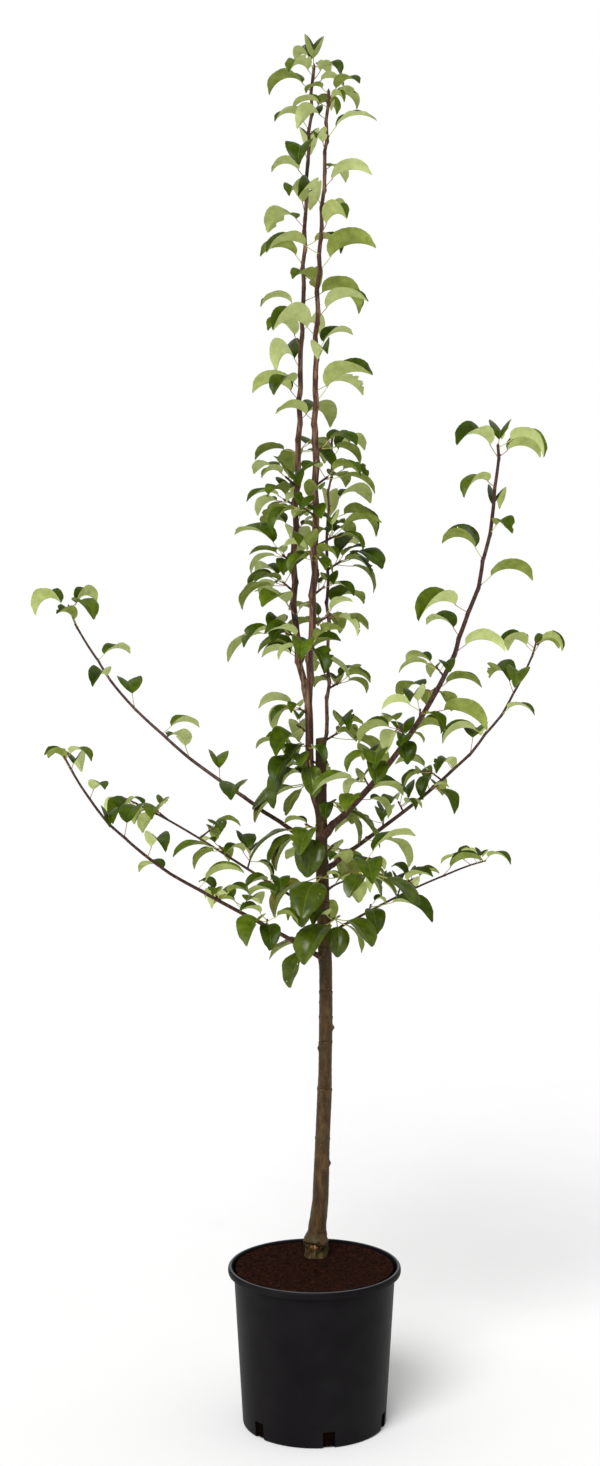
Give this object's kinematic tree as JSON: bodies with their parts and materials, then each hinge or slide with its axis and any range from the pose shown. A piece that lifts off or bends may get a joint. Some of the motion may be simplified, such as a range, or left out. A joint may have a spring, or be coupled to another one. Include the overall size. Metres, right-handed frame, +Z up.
{
  "type": "potted pear tree",
  "caption": "Young grafted pear tree in leaf, with tall upright leaders and spreading boughs, in a round black nursery pot filled with compost.",
  "frame": {"origin": "centre of the pot's flat underside", "axes": "+Z up, the side that the picture shows faces -Y, +X to the right in the picture"},
  "size_m": [0.9852, 0.65, 2.3878],
  "materials": {
    "pot": "satin black",
    "compost": "rough, damp",
    "bark": "matt bark with rings and scars",
    "leader_bark": "smooth young bark",
    "bough_bark": "smooth young bark",
    "foliage": "glossy above, paler and matt below"
  },
  "bodies": {
    "root": {"bough_left_lower": "bough_bark", "bough_left_lower_foliage": "foliage", "bough_left_middle": "bough_bark", "bough_left_middle_foliage": "foliage", "bough_left_upper": "bough_bark", "bough_left_upper_foliage": "foliage", "bough_right_lower": "bough_bark", "bough_right_lower_foliage": "foliage", "bough_right_middle": "bough_bark", "bough_right_middle_foliage": "foliage", "bough_right_short": "bough_bark", "bough_right_short_foliage": "foliage", "bough_right_upper": "bough_bark", "bough_right_upper_foliage": "foliage", "compost": "compost", "fork_spur_1": "foliage", "fork_spur_2": "foliage", "fork_spur_3": "foliage", "fork_spur_4": "foliage", "fork_spur_5": "foliage", "leader_left": "leader_bark", "leader_left_shoot": "foliage", "leader_left_spur_1": "foliage", "leader_left_spur_2": "foliage", "leader_left_spur_3": "foliage", "leader_left_spur_4": "foliage", "leader_left_spur_5": "foliage", "leader_left_spur_6": "foliage", "leader_left_spur_7": "foliage", "leader_left_spur_8": "foliage", "leader_left_spur_9": "foliage", "leader_right": "leader_bark", "leader_right_shoot": "foliage", "leader_right_spur_1": "foliage", "leader_right_spur_2": "foliage", "leader_right_spur_3": "foliage", "leader_right_spur_4": "foliage", "leader_right_spur_5": "foliage", "leader_right_spur_6": "foliage", "leader_right_spur_7": "foliage", "leader_right_spur_8": "foliage", "leader_third": "leader_bark", "leader_third_shoot": "foliage", "leader_third_spur_1": "foliage", "leader_third_spur_2": "foliage", "leader_third_spur_3": "foliage", "leader_third_spur_4": "foliage", "pot": "pot", "trunk": "bark", "trunk_spur_1": "foliage", "trunk_spur_2": "foliage", "trunk_spur_3": "foliage", "trunk_spur_4": "foliage", "trunk_spur_5": "foliage", "trunk_spur_6": "foliage", "trunk_spur_7": "foliage", "trunk_spur_8": "foliage", "trunk_spur_9": "foliage"}
  },
  "joints": []
}
